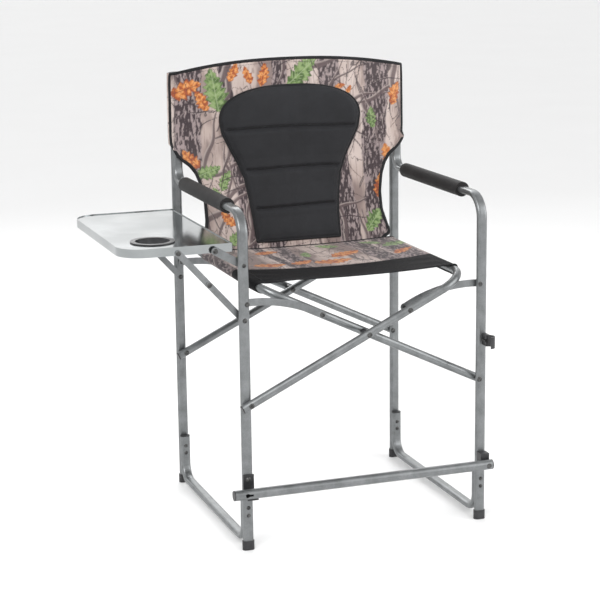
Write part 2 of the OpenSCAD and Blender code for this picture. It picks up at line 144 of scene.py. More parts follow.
def new_object(name, verts, faces, smooth_faces=True):
    mesh = bpy.data.meshes.new(name)
    mesh.from_pydata([tuple(v) for v in verts], [], faces)
    mesh.validate()
    mesh.update()
    if smooth_faces:
        mesh.polygons.foreach_set("use_smooth", [True] * len(mesh.polygons))
    obj = bpy.data.objects.new(name, mesh)
    bpy.context.scene.collection.objects.link(obj)
    return obj


def grid_faces(rows, cols):
    return [
        (r * cols + c, r * cols + c + 1, (r + 1) * cols + c + 1, (r + 1) * cols + c)
        for r in range(rows - 1)
        for c in range(cols - 1)
    ]


def bake_modifiers(obj):
    """Turns the object's modifiers into its mesh."""
    dg = bpy.context.evaluated_depsgraph_get()
    mesh = bpy.data.meshes.new_from_object(obj.evaluated_get(dg), preserve_all_data_layers=True, depsgraph=dg)
    obj.modifiers.clear()
    obj.data = mesh


def ring_faces(rings, sides, closed=False):
    """Side faces between rings of points, with flat caps unless the tube is closed on itself."""
    faces = []
    for k in range(rings if closed else rings - 1):
        a, b = k * sides, (k + 1) % rings * sides
        faces += [(a + s, a + (s + 1) % sides, b + (s + 1) % sides, b + s) for s in range(sides)]
    if not closed:
        faces += [tuple(range(sides))[::-1], tuple((rings - 1) * sides + s for s in range(sides))]
    return faces


def tube_along(name, points, radius, closed=False, sides=10):
    """Round cord along a list of points, with capped ends, as a mesh."""
    pts = np.array([tuple(p) for p in points], float)
    n = len(pts)
    ahead = np.roll(pts, -1, 0) if closed else np.vstack([pts[1:], pts[-1:] * 2 - pts[-2:-1]])
    behind = np.roll(pts, 1, 0) if closed else np.vstack([pts[:1] * 2 - pts[1:2], pts[:-1]])
    tangent = ahead - behind
    tangent /= np.linalg.norm(tangent, axis=1)[:, None] + 1e-12
    side = np.cross(tangent[0], (0.13, 0.97, 0.21))
    rings = []
    for k in range(n):
        side = side - tangent[k] * (side @ tangent[k])
        side /= np.linalg.norm(side) + 1e-12
        up = np.cross(tangent[k], side)
        for s in range(sides):
            a = 2 * math.pi * s / sides
            rings.append(pts[k] + radius * (side * math.cos(a) + up * math.sin(a)))
    return new_object(name, rings, ring_faces(n, sides, closed))


def resample(points, step):
    """Evenly spaced points along a polyline."""
    pts = np.array([tuple(p) for p in points], float)
    run = np.concatenate([[0], np.cumsum(np.linalg.norm(np.diff(pts, axis=0), axis=1))])
    marks = np.linspace(0, run[-1], max(2, int(run[-1] / step)))
    return np.stack([np.interp(marks, run, pts[:, k]) for k in range(3)], 1)


def stitch_row(name, points, normal, pitch=4.2 * MM, length=2.6 * MM, width=0.55 * MM):
    """A row of short raised threads along a line, as one mesh."""
    pts = resample(points, pitch)
    verts, faces = [], []
    normal = np.array(normal, float)
    for a, b in zip(pts[:-1], pts[1:]):
        d = b - a
        d /= np.linalg.norm(d) + 1e-12
        w = np.cross(d, normal)
        mid = (a + b) / 2
        base = len(verts)
        for t, r in ((-0.5, 0.3), (-0.25, 1.0), (0.25, 1.0), (0.5, 0.3)):
            for k in range(6):
                q = 2 * math.pi * k / 6
                verts.append(mid + d * t * length + (w * math.cos(q) + normal * math.sin(q)) * width * r)
        for seg in range(3):
            for k in range(6):
                p, q = base + seg * 6 + k, base + seg * 6 + (k + 1) % 6
                faces.append((p, q, q + 6, p + 6))
        faces += [tuple(base + k for k in range(6))[::-1], tuple(base + 18 + k for k in range(6))]
    return new_object(name, verts, faces)


# ---- materials ----


class Look:
    """A node material with short helpers."""

    def __init__(self, name, colour, roughness, metallic=0.0):
        self.material = bpy.data.materials.new(name)
        self.material.use_nodes = True
        self.tree = self.material.node_tree
        self.shader = self.tree.nodes["Principled BSDF"]
        self.shader.inputs["Base Color"].default_value = (*colour, 1)
        self.shader.inputs["Roughness"].default_value = roughness
        self.shader.inputs["Metallic"].default_value = metallic
        self.coords = self.tree.nodes.new("ShaderNodeTexCoord").outputs["Object"]
        self.height = None

    def link(self, a, b):
        self.tree.links.new(a, b)

    def node(self, kind, **values):
        n = self.tree.nodes.new(kind)
        for key, value in values.items():
            if key in n.inputs:
                n.inputs[key].default_value = value
            else:
                setattr(n, key, value)
        return n

    def stretched(self, scale, rotation=(0, 0, 0)):
        m = self.node("ShaderNodeMapping", Scale=scale, Rotation=rotation)
        self.link(self.coords, m.inputs["Vector"])
        return m.outputs["Vector"]

    def noise(self, scale, detail=3.0, roughness=0.5, vector=None):
        n = self.node("ShaderNodeTexNoise", Scale=scale, Detail=detail, Roughness=roughness)
        self.link(vector or self.coords, n.inputs["Vector"])
        return n.outputs["Fac"]

    def span(self, value, low, high, out_low=0.0, out_high=1.0):
        n = self.tree.nodes.new("ShaderNodeMapRange")
        for k, x in zip(("From Min", "From Max", "To Min", "To Max"), (low, high, out_low, out_high)):
            n.inputs[k].default_value = x
        self.link(value, n.inputs["Value"])
        return n.outputs["Result"]

    def math(self, operation, a, b):
        n = self.node("ShaderNodeMath", operation=operation)
        for k, x in enumerate((a, b)):
            if isinstance(x, (int, float)):
                n.inputs[k].default_value = x
            else:
                self.link(x, n.inputs[k])
        return n.outputs[0]

    def mix(self, factor, a, b, blend="MIX"):
        n = self.node("ShaderNodeMix", data_type="RGBA", blend_type=blend)
        self.link(factor, n.inputs["Factor"])
        for k, x in zip((6, 7), (a, b)):
            if isinstance(x, tuple):
                n.inputs[k].default_value = (*x, 1)
            else:
                self.link(x, n.inputs[k])
        return n.outputs[2]

    def paint(self, colour):
        self.link(colour, self.shader.inputs["Base Color"])

    def roughen(self, amount):
        self.link(amount, self.shader.inputs["Roughness"])

    def bump(self, height, strength, distance):
        n = self.node("ShaderNodeBump", Strength=strength, Distance=distance)
        self.link(height, n.inputs["Height"])
        if self.height:
            self.link(self.height, n.inputs["Normal"])
        self.height = n.outputs["Normal"]
        self.link(self.height, self.shader.inputs["Normal"])

    def weave(self, pitch, strength=0.35, distance=0.0004, vector=None):
        """Plain weave: crossed waves of threads."""
        out = []
        for direction in ("X", "Z"):
            w = self.node("ShaderNodeTexWave", wave_type="BANDS", bands_direction=direction, Scale=0.5 / pitch)
            w.inputs["Distortion"].default_value = 0.6
            self.link(vector or self.coords, w.inputs["Vector"])
            out.append(w.outputs["Fac"])
        threads = self.math("MULTIPLY", out[0], out[1])
        self.bump(threads, strength, distance)
        return threads


def frame_steel(name="frame_steel", light=(0.235, 0.245, 0.25), dark=(0.125, 0.132, 0.135)):
    """Silver-grey metallic powder coat: fine flake, soft mottling and scuffed patches."""
    m = Look(name, light, 0.34, 0.8)
    mottle = m.noise(34, 4, 0.6)
    streak = m.noise(9, 5, 0.62, m.stretched((3, 3, 0.5)))
    flake = m.noise(1500, 1)
    blotch = m.math("ADD", m.math("MULTIPLY", mottle, 0.55), m.math("MULTIPLY", streak, 0.45))
    shade = m.span(blotch, 0.36, 0.64)
    colour = m.mix(shade, dark, light)
    m.paint(m.mix(m.span(flake, 0.35, 0.75, 0.0, 0.32), colour, (0.44, 0.45, 0.455)))
    m.roughen(m.span(streak, 0.3, 0.7, 0.26, 0.44))
    m.bump(flake, 0.12, 0.0002)
    m.bump(m.noise(90, 3), 0.08, 0.0006)
    return m.material


def rivet_steel():
    """Dull zinc with darker turned rings and grime."""
    m = Look("rivet_steel", (0.1, 0.1, 0.1), 0.38, 0.9)
    grime = m.noise(160, 4, 0.6)
    m.paint(m.mix(m.span(grime, 0.35, 0.65), (0.035, 0.035, 0.035), (0.13, 0.13, 0.128)))
    m.roughen(m.span(grime, 0.3, 0.7, 0.5, 0.28))
    m.bump(m.noise(700, 2), 0.15, 0.0002)
    return m.material


def tray_metal():
    """Polished sheet with hairline brushing along its length and faint smears."""
    m = Look("tray_metal", (0.42, 0.44, 0.45), 0.12, 1.0)
    hair = m.noise(260, 4, 0.6, m.stretched((12, 0.25, 1)))
    smear = m.noise(7, 4, 0.55)
    m.paint(m.mix(m.span(smear, 0.35, 0.7), (0.34, 0.36, 0.365), (0.46, 0.48, 0.485)))
    m.roughen(m.math("ADD", m.span(smear, 0.3, 0.7, 0.06, 0.13), m.span(hair, 0.3, 0.7, 0.0, 0.07)))
    m.bump(hair, 0.03, 0.0001)
    m.bump(m.noise(4, 2), 0.12, 0.002)
    return m.material


def black_plastic():
    """Moulded plastic with fine spark grain and rubbed lighter patches."""
    m = Look("black_plastic", (0.02, 0.02, 0.022), 0.42)
    wear = m.noise(45, 4, 0.6)
    m.paint(m.mix(m.span(wear, 0.45, 0.75), (0.016, 0.016, 0.018), (0.045, 0.045, 0.048)))
    m.roughen(m.span(wear, 0.3, 0.7, 0.36, 0.52))
    m.bump(m.noise(900, 2), 0.25, 0.0003)
    return m.material


def foam():
    """Closed-cell foam grip: charcoal, with open pores and soft dents."""
    m = Look("foam", (0.02, 0.02, 0.021), 0.7)
    m.shader.inputs["Sheen Weight"].default_value = 0.06
    m.shader.inputs["Sheen Roughness"].default_value = 0.5
    m.shader.inputs["Specular IOR Level"].default_value = 0.25
    pores = m.node("ShaderNodeTexVoronoi", Scale=620.0)
    m.link(m.coords, pores.inputs["Vector"])
    tone = m.noise(26, 4, 0.6)
    m.paint(m.mix(m.span(tone, 0.3, 0.7), (0.008, 0.007, 0.007), (0.019, 0.018, 0.0185)))
    m.bump(pores.outputs["Distance"], 0.35, 0.0005)
    m.bump(m.noise(40, 3), 0.2, 0.0012)
    return m.material


def fabric_black(name="black_fabric", colour=(0.011, 0.011, 0.013), light=(0.024, 0.025, 0.029)):
    """Black woven polyester: plain weave, slub variation, soft sheen."""
    m = Look(name, colour, 0.72)
    m.shader.inputs["Sheen Weight"].default_value = 0.12
    m.shader.inputs["Sheen Roughness"].default_value = 0.4
    m.shader.inputs["Specular IOR Level"].default_value = 0.3
    slub = m.noise(420, 3, 0.6, m.stretched((1, 1, 6)))
    cloud = m.noise(9, 4, 0.6)
    threads = m.weave(0.0011, 0.45, 0.0005)
    shade = m.math("ADD", m.math("MULTIPLY", slub, 0.45), m.math("MULTIPLY", cloud, 0.55))
    base = m.mix(m.span(shade, 0.35, 0.65), colour, light)
    # painted shade: the colour goes darker in the gaps between the threads
    m.paint(m.mix(m.span(threads, 0.0, 1.0, 0.35, 0.0), base, (0.006, 0.006, 0.007)))
    m.bump(slub, 0.15, 0.0003)
    return m.material


def fabric_print():
    """Printed polyester canvas: the print is painted on the mesh, the weave and slub are in the shader."""
    m = Look("camo_fabric", (0.45, 0.37, 0.32), 0.74)
    m.shader.inputs["Sheen Weight"].default_value = 0.15
    m.shader.inputs["Specular IOR Level"].default_value = 0.3
    ink = m.node("ShaderNodeVertexColor", layer_name="print").outputs["Color"]
    threads = m.weave(0.0012, 0.4, 0.0004)
    slub = m.noise(380, 3, 0.6, m.stretched((6, 1, 1)))
    fade = m.noise(6, 3)
    # painted shade: the print goes darker in the gaps between the threads
    toned = m.mix(m.span(threads, 0.0, 1.0, 0.16, 0.0), ink, (0.05, 0.04, 0.04))
    toned = m.mix(m.span(slub, 0.45, 0.8, 0.0, 0.08), toned, (0.62, 0.56, 0.53))
    m.paint(m.mix(m.span(fade, 0.5, 0.8, 0.0, 0.04), toned, (0.6, 0.56, 0.53)))
    m.bump(slub, 0.1, 0.0003)
    return m.material


def thread_look():
    """Polyester thread with a twisted ply."""
    m = Look("thread", (0.02, 0.02, 0.022), 0.5)
    ply = m.noise(1400, 2)
    m.paint(m.mix(m.span(ply, 0.3, 0.7), (0.012, 0.012, 0.014), (0.07, 0.07, 0.075)))
    m.bump(ply, 0.4, 0.0003)
    return m.material


LOOKS = {
    "frame_steel": frame_steel(),
    "rivet_steel": rivet_steel(),
    "tray_metal": tray_metal(),
    "black_plastic": black_plastic(),
    "foam": foam(),
    "camo_fabric": fabric_print(),
    "black_fabric": fabric_black(),
}
THREAD = thread_look()
SEAT_BAND = fabric_black("seat_band", (0.005, 0.005, 0.006), (0.011, 0.011, 0.0125))
SEAT_BAND.node_tree.nodes["Principled BSDF"].inputs["Sheen Weight"].default_value = 0.02
SEAT_BAND.node_tree.nodes["Principled BSDF"].inputs["Specular IOR Level"].default_value = 0.15
BINDING = fabric_black("binding", (0.006, 0.006, 0.007), (0.015, 0.015, 0.017))
BACKING = fabric_black("backing", (0.05, 0.048, 0.047), (0.095, 0.092, 0.09))

for entry in frame["record"]["subparts"]:
    obj = frame["nodes"][entry["node"]]
    obj.data.materials.clear()
    obj.data.materials.append(LOOKS[entry["material_slot"]])

# ---- the woodland print ----

BARK = ((0.50, 0.40, 0.36), (0.25, 0.185, 0.17), (0.64, 0.54, 0.50))
SHADOW = (0.040, 0.026, 0.031)
TWIG = (0.105, 0.072, 0.074)
ORANGES = ((0.60, 0.195, 0.034), (0.34, 0.07, 0.02), (0.74, 0.34, 0.12), (0.19, 0.045, 0.02))
GREENS = ((0.150, 0.245, 0.072), (0.065, 0.125, 0.032), (0.265, 0.365, 0.15), (0.33, 0.41, 0.22))


def mix_into(base, colour, amount):
    return base * (1 - amount[:, None]) + np.array(colour) * amount[:, None]


def paint_bark(u, v):
    """Pale pink-grey wood with vertical grain and wavy dark cracks."""
    warp = fbm(u * 9, v * 5, 3)
    tone = fbm(u * 14 + warp, v * 6, 7)
    colour = np.tile(np.array(BARK[0]), (len(u), 1))
    colour = mix_into(colour, BARK[1], smooth(0.5, 0.68, tone))
    colour = mix_into(colour, BARK[2], smooth(0.5, 0.33, tone) * 0.8)
    grain = fbm(u * 260, v * 26 + warp * 6, 21, 3)
    colour = mix_into(colour, BARK[1], smooth(0.58, 0.72, grain) * 0.55)
    crack = np.abs(fbm(u * 26 + 3 * warp, v * 11 + 2 * warp, 33) - 0.5)
    colour = mix_into(colour, SHADOW, smooth(0.013, 0.002, crack) * 0.85)
    return colour


def paint_trunks(colour, u, v):
    """Broad dark trunks with flecked bark."""
    for start, lean, width in ((-0.270, 0.05, 0.036), (-0.165, -0.42, 0.014), (-0.03, 0.24, 0.020),
                               (0.115, -0.25, 0.030), (0.235, 0.12, 0.034), (0.33, -0.1, 0.014)):
        sway = 0.025 * (fbm(v * 5 + start * 40, v * 0 + 2.5, 51) - 0.5)
        d = np.abs(u - start - lean * (v - 0.75) * 0.3 - sway) / width
        edge = d + 0.35 * (fbm(u * 60, v * 34, 61) - 0.5)
        inside = smooth(1.05, 0.9, edge)
        flecks = fbm(u * 300, v * 90, 71, 3)
        tone = smooth(0.47, 0.62, flecks + 0.16 * (d - 0.5))
        bark = mix_into(np.tile(np.array(SHADOW), (len(u), 1)), (0.40, 0.32, 0.315), tone * 0.8)
        colour = colour * (1 - inside[:, None]) + bark * inside[:, None]
    return colour


def paint_strokes(colour, u, v, rng, count, widths, lengths, ink, low, high):
    """Curved branches and twigs."""
    for _ in range(count):
        x0, y0 = rng.uniform(-0.33, 0.33), rng.uniform(low, high)
        angle = rng.uniform(0, math.pi)
        if rng.random() < 0.45:
            angle = math.pi / 2 + rng.normal(0, 0.35)
        length, width, bend = rng.uniform(*lengths), rng.uniform(*widths), rng.normal(0, 2.2)
        c, s = math.cos(angle), math.sin(angle)
        a = (u - x0) * c + (v - y0) * s
        b = -(u - x0) * s + (v - y0) * c - bend * a * a + 0.003 * np.sin(a * 70 + x0 * 90)
        near = (np.abs(a) < length / 2) & (np.abs(b) < width * 2.5)
        if not near.any():
            continue
        taper = width * (1 - 0.75 * np.abs(a[near]) / (length / 2))
        amount = smooth(1.1, 0.75, np.abs(b[near]) / (taper + 1e-5))
        lit = smooth(0.1, 0.8, b[near] / (taper + 1e-5))
        part = mix_into(colour[near], ink, amount * 0.92)
        colour[near] = mix_into(part, (0.62, 0.53, 0.49), amount * lit * 0.55 * (width > 0.002))
    return colour


def paint_leaf(colour, u, v, x0, y0, size, angle, lobes, tones):
    """A lobed leaf with a midrib, side veins and uneven colour."""
    c, s = math.cos(angle), math.sin(angle)
    a, b = ((u - x0) * c + (v - y0) * s) / size, (-(u - x0) * s + (v - y0) * c) / size
    near = (np.abs(a) < 1.2) & (np.abs(b) < 1.0)
    if not near.any():
        return colour
    a, b = a[near], b[near]
    reach = np.clip((a + 1) / 2, 0, 1)
    body = 0.50 * np.clip(np.sin(math.pi * reach ** 0.85), 0, 1) ** 0.75
    phase = a * lobes - np.abs(b) * 1.1 + x0 * 9
    saw = 1 - np.abs(phase % 1 * 2 - 1)
    fine = 1 - np.abs(phase * 4 % 1 * 2 - 1)
    uneven = 0.5 * (fbm(a * 3 + x0 * 31, b * 3, 97) - 0.5)
    half_width = body * (0.66 + 0.46 * saw + 0.09 * fine + uneven) + 1e-4
    edge = np.abs(b + 0.06 * np.sin(a * 3 + x0 * 80)) / half_width
    inside = smooth(1.05, 0.95, edge) * (np.abs(a) < 1)
    tone = fbm(a * 5 + x0 * 50, b * 5, 91)
    leaf = mix_into(np.tile(np.array(tones[0]), (len(a), 1)), tones[1], smooth(0.50, 0.64, tone))
    leaf = mix_into(leaf, tones[2], smooth(0.50, 0.36, tone) * 0.85)
    side_vein = np.abs((a - np.abs(b) * 0.9) * lobes * 1.5 % 1 - 0.5) * 0.5
    veins = np.minimum(np.abs(b) * 1.2, side_vein)
    leaf = mix_into(leaf, tones[3], smooth(0.045, 0.012, veins) * 0.75)
    leaf = mix_into(leaf, SHADOW, smooth(0.78, 1.0, edge) * 0.45)
    colour[near] = colour[near] * (1 - inside[:, None]) + leaf * inside[:, None]
    return colour


# Leaves, listed one by one: across, up the sling from the seat's front edge, half-length, turn, lobes, tones
LEAVES = (
    (-0.275, 0.800, 0.042, 0.3, 2.5, ORANGES), (-0.235, 0.770, 0.030, 2.2, 2.5, ORANGES),
    (-0.200, 0.795, 0.056, 1.75, 3.5, GREENS), (-0.150, 0.838, 0.026, 1.2, 2.5, ORANGES),
    (-0.112, 0.828, 0.024, 1.9, 2.0, ORANGES), (-0.070, 0.828, 0.030, 1.4, 2.5, ORANGES),
    (0.034, 0.832, 0.052, 0.7, 3.5, GREENS), (0.136, 0.790, 0.016, 0.3, 2.0, ORANGES),
    (0.160, 0.780, 0.014, 1.1, 2.0, ORANGES), (0.222, 0.706, 0.028, 1.7, 2.5, GREENS),
    (0.288, 0.766, 0.032, 1.2, 2.5, ORANGES), (0.268, 0.604, 0.034, 1.8, 2.5, ORANGES),
    (0.238, 0.530, 0.032, 1.4, 2.5, ORANGES), (0.215, 0.446, 0.038, 0.8, 3.0, GREENS),
    (-0.268, 0.624, 0.032, 2.3, 2.5, ORANGES), (-0.222, 0.590, 0.034, 0.3, 3.0, GREENS),
    (-0.180, 0.566, 0.028, 1.1, 2.5, GREENS), (-0.205, 0.535, 0.018, 2.0, 2.5, GREENS),
    (-0.180, 0.470, 0.026, 2.4, 2.5, ORANGES), (-0.162, 0.424, 0.030, 0.6, 3.0, GREENS),
    (0.235, 0.320, 0.046, 0.3, 3.0, GREENS), (0.175, 0.360, 0.030, 2.5, 3.0, GREENS),
    (0.215, 0.235, 0.036, 0.6, 2.5, ORANGES), (0.075, 0.275, 0.048, 0.5, 3.0, ORANGES),
    (0.020, 0.205, 0.052, 0.1, 3.0, ORANGES), (-0.060, 0.215, 0.036, 0.5, 2.5, ORANGES),
    (-0.150, 0.195, 0.044, 0.2, 2.5, ORANGES), (-0.215, 0.280, 0.040, 0.9, 3.0, GREENS),
    (-0.110, 0.345, 0.034, 0.2, 2.5, ORANGES), (0.060, 0.370, 0.032, 2.7, 2.5, GREENS),
    (-0.020, 0.300, 0.028, 1.4, 2.5, GREENS),
)


def paint_print(u, v):
    """Colour of the print at u across and v up the sling, in metres."""
    rng = np.random.default_rng(5)
    colour = paint_bark(u, v)
    colour = paint_trunks(colour, u, v)
    colour = paint_strokes(colour, u, v, rng, 64, (0.004, 0.011), (0.10, 0.28), TWIG, 0.0, 0.92)
    colour = paint_strokes(colour, u, v, rng, 230, (0.0009, 0.0024), (0.04, 0.17), SHADOW, 0.0, 0.92)
    for x0, y0, size, angle, lobes, tones in LEAVES:
        colour = paint_leaf(colour, u, v, x0, y0, size, angle, lobes, tones)
    colour = paint_strokes(colour, u, v, rng, 45, (0.0009, 0.0018), (0.05, 0.15), SHADOW, 0.0, 0.92)
    return np.clip(colour, 0, 1)


def put_print(obj, u, v):
    colour = paint_print(u, v)
    layer = obj.data.color_attributes.new("print", "FLOAT_COLOR", "POINT")
    layer.data.foreach_set("color", np.column_stack([colour, np.ones(len(u))]).astype(np.float32).ravel())


# ---- back of the sling ----

BACK_WIDTH = ((617, 222), (628, 231), (637, 251), (648, 252), (660, 248), (700, 239), (745, 239),
              (790, 247), (818, 257), (838, 272), (850, 288), (862, 300), (874, 308), (886, 313),
              (912, 314.5), (978, 314), (1040, 313.5), (CORNER_Z, 312.5))
BACK_LEAN = ((617, 183.5), (634, 185.5), (700, 212), (780, 231), (850, 241), (925, 243), (1100, 244))
# Rows and columns of the back's mesh, and columns in each hem
ROWS, COLS, HEM = 280, 350, 14


def back_half_width(z):
    return ramp(z, BACK_WIDTH)


def back_y(x, z):
    """Front face of the back sling: leaning, slightly hollow between the posts and softly rippled."""
    y = ramp(z, BACK_LEAN)
    hollow = 4.0 * np.clip(1 - (x / 285.0) ** 2, 0, 1) * smooth(760, 900, z)
    ripple = 1.6 * (fbm(x / 120 + 9, z / 60, 131, 3) - 0.5)
    drag = 1.6 * np.sin((np.abs(x) * 0.7 - (z - 850)) / 13.0) * np.exp(-((z - 850) / 45) ** 2)
    drag = drag * smooth(200, 250, np.abs(x)) * smooth(290, 262, np.abs(x))
    return y + hollow + ripple + drag


def back_point(u, v):
    """Point of the back sling: u runs across from -1 to 1, v up from 0 to 1."""
    z_ref = BACK_LOW + v * (CORNER_Z - BACK_LOW)
    w = back_half_width(z_ref)
    x = u * w
    z = z_ref + smooth(0.35, 1.0, v) * (BACK_TOP - 1.5 - CORNER_Z) * (1 - np.abs(u) ** 2.3)
    y = back_y(x, z)
    round_off = np.clip((np.abs(x) - 276) / np.maximum(w - 276, 1e-3), 0, 1)
    wrapped = smooth(SLEEVE_LOW, SLEEVE_LOW + 12, z_ref) * (1 - np.sqrt(np.clip(1 - round_off ** 2, 0, 1)))
    y = y + wrapped * (POST_REAR - 8 - y)
    return x, y, z


def make_back():
    """Front sheet with its sleeves turned round the posts."""
    rows, front = ROWS, COLS
    v = np.linspace(0, 1, rows)[:, None]
    u = np.linspace(-1, 1, front)[None, :]
    x, y, z = back_point(u + 0 * v, v + 0 * u)
    z_ref = BACK_LOW + v * (CORNER_Z - BACK_LOW)
    lobe = smooth(SLEEVE_LOW, SLEEVE_LOW + 12, z_ref)
    t = np.linspace(0, 1, HEM + 1)[1:][None, :]
    depth = POST_REAR + 4 - y[:, :1]
    reach = 3 + 44 * lobe
    wrap_x = -np.where(t < 0.4, 3.0 * (t / 0.4) ** 2 * lobe, 3.0 * lobe + (t - 0.4) / 0.6 * reach)
    wrap_y = np.where(t < 0.4, np.sin(t / 0.4 * math.pi / 2), 1.0) * np.minimum(depth, 14 * lobe + 1.5)
    right = (x[:, -1:] + wrap_x, y[:, -1:] + wrap_y, z[:, -1:] + 0 * t)
    left = (-right[0][:, ::-1], right[1][:, ::-1], right[2][:, ::-1])
    x, y, z = (np.hstack([a, b, c]) for a, b, c in zip(left, (x, y, z), right))
    pts = np.stack([x * MM + CENTRE.x, y * MM + CENTRE.y, z * MM], -1)
    obj = new_object("back_sling", pts.reshape(-1, 3), grid_faces(*x.shape))
    step = np.hypot(np.diff(x, axis=1), np.diff(y, axis=1))
    across = np.hstack([np.zeros((rows, 1)), np.cumsum(step, 1)])
    across = across - across[:, -1:] / 2
    put_print(obj, across.ravel() * MM, (z.ravel() - SEAT_TOP + 400) * MM)
    obj.data.materials.append(LOOKS["camo_fabric"])
    obj.data.materials.append(BACKING)
    solid = obj.modifiers.new("cloth", "SOLIDIFY")
    solid.thickness, solid.offset, solid.material_offset = 1.1 * MM, 1.0, 1
    bake_modifiers(obj)
    return obj


def back_edge():
    """Left side, top and right side of the back's outline, clockwise from the lower left."""
    v = np.linspace(0, 1, 150)
    u = np.linspace(-1, 1, 110)
    sides = []
    for a, b in ((-1 + 0 * v, v), (u, 1 + 0 * u), (1 + 0 * v[::-1], v[::-1])):
        x, y, z = back_point(a, b)
        front = back_y(x, z)
        sides.append(np.stack([x * 1.002, front + 0.55 * (y - front), z], 1))
    return sides


def make_binding(name, line, inward, half_width=4.6, half_thick=1.7):
    """Black tape folded over an edge: an oval section whose long side lies in the cloth."""
    pts = resample(line, 3.5)
    for _ in range(3):
        pts[1:-1] = (pts[:-2] + 2 * pts[1:-1] + pts[2:]) / 4
    inner = inward(pts)
    verts, sides = [], 12
    for k, p in enumerate(pts):
        ahead = pts[min(k + 1, len(pts) - 1)] - pts[max(k - 1, 0)]
        ahead /= np.linalg.norm(ahead) + 1e-9
        side = inner[k] - ahead * (inner[k] @ ahead)
        side /= np.linalg.norm(side) + 1e-9
        up = np.cross(ahead, side)
        swell = 1 + 0.10 * math.sin(k * 1.7) * math.sin(k * 0.31)
        for s in range(sides):
            a = 2 * math.pi * s / sides
            q = p + side * (half_width * math.cos(a) + half_width * 0.55) + up * half_thick * swell * math.sin(a)
            verts.append(tuple(at(*q)))
    obj = new_object(name, verts, ring_faces(len(pts), sides))
    obj.data.materials.append(BINDING)
    return obj


def sleeve_top(side):
    """The sewn-shut top of a post sleeve: a low black dome over the end of the post."""
    rings, around = 7, 40
    verts = []
    for r in range(rings):
        t = r / (rings - 1) * math.pi / 2
        for k in range(around):
            a = 2 * math.pi * k / around
            c, d = math.cos(a), math.sin(a)
            spread = (abs(c) ** 2.8 + abs(d) ** 2.8) ** (-1 / 2.8) * math.cos(t * 0.98)
            x = side * (POST_X - 2.5 + 17.5 * c * spread)
            y = POST_REAR - 16 + 19.5 * d * spread
            verts.append(tuple(at(x, y, CORNER_Z + 0.4 + 3.4 * math.sin(t))))
    obj = new_object(f"sleeve_top_{'left' if side < 0 else 'right'}", verts, ring_faces(rings, around))
    obj.data.materials.append(BINDING)
    return obj


# ---- quilted pad ----

PAD_WIDTH = ((640, 112), (700, 115), (745, 120), (800, 129), (840, 145), (880, 166), (915, 183), (945, 188))
PAD_TOP = 1029.0
PAD_LOW = 641.0
PAD_WIDE = 945.0
CHANNELS = (722.0, 818.0, 921.0)


def pad_half_width(z):
    """The pad widens to its shoulders, then closes in a round arch."""
    arch = 188 * (1 - np.clip((z - PAD_WIDE) / (PAD_TOP - PAD_WIDE), 0, 1) ** 2.4) ** (1 / 2.4)
    return np.where(z > PAD_WIDE, arch, ramp(z, PAD_WIDTH))


def pad_point(u, v):
    """Point on the pad's outline plane, with rows crowding towards the top of the arch."""
    low = PAD_LOW + np.clip(v / 0.7, 0, 1) * (PAD_WIDE - PAD_LOW)
    rise = np.sin(np.clip((v - 0.7) / 0.3, 0, 1) * math.pi / 2)
    z = low + rise * (PAD_TOP - PAD_WIDE)
    return u * pad_half_width(z), z


def pad_height(u, v, x, z):
    """Thickness of the pad: flat rolled border, then tufted panels between sewn channels."""
    beside = (1 - np.abs(u)) * pad_half_width(z)
    above = (PAD_TOP - z) * (1 - 0.45 * np.clip(np.abs(x) / 188, 0, 1) ** 2)
    rim = np.minimum(beside, np.minimum(z - PAD_LOW, above))
    full = 13.0 * (1 - np.exp(-np.clip(rim, 0, None) / 9.0)) + 1.2
    full = full * (0.72 + 0.28 * smooth(PAD_LOW, PAD_LOW + 120, z))
    seam = np.zeros_like(z)
    inner = smooth(4, 20, rim)
    for k, c in enumerate(CHANNELS):
        line = c + 2.0 * np.sin(x / 70 + k)
        seam = np.maximum(seam, np.exp(-((z - line) / 5.2) ** 2))
    pucker = 0.7 * np.sin(x / 7.5 + 2 * np.sin(x / 31)) * np.exp(-((seam - 0.25) / 0.3) ** 2)
    border = np.exp(-((rim - 13) / 2.6) ** 2)
    soft = 1.3 * (fbm(x / 55, z / 40, 211, 3) - 0.5)
    return full - inner * seam * 8.6 - border * 0.5 + (pucker + soft) * inner


def make_pad():
    rows, cols = 210, 150
    v = np.linspace(0, 1, rows)[:, None] * np.ones((1, cols))
    u = np.sin(np.linspace(-math.pi / 2, math.pi / 2, cols))[None, :] * np.ones((rows, 1))
    x, z = pad_point(u, v)
    base = back_y(x, z) - 1.6
    front = base - np.maximum(pad_height(u, v, x, z), 0.6)
    pts = [np.stack([x, y, z], -1).reshape(-1, 3) for y in (front, base)]
    verts = [tuple(at(*p)) for block in pts for p in block]
    n = rows * cols
    faces = grid_faces(rows, cols)
    faces += [tuple(i + n for i in f[::-1]) for f in grid_faces(rows, cols)]
    rim = list(range(cols)) + [r * cols + cols - 1 for r in range(1, rows)]
    rim += [(rows - 1) * cols + c for c in range(cols - 2, -1, -1)]
    rim += [r * cols for r in range(rows - 2, 0, -1)]
    faces += [(a, a + n, b + n, b) for a, b in zip(rim, rim[1:] + rim[:1])]
    obj = new_object("quilted_pad", verts, faces)
    obj.data.materials.append(LOOKS["black_fabric"])
    return obj


def pad_edge():
    v = np.linspace(0, 1, 160)
    u = np.linspace(-1, 1, 60)
    sides = []
    for a, b in ((-1 + 0 * v, v), (1 + 0 * v[1:], v[::-1][1:]), (u[::-1][1:-1], 0 * u[1:-1])):
        x, z = pad_point(a, b)
        sides.append(np.stack([x, back_y(x, z) - 3.2, z], 1))
    return np.vstack(sides)


# ---- seat ----


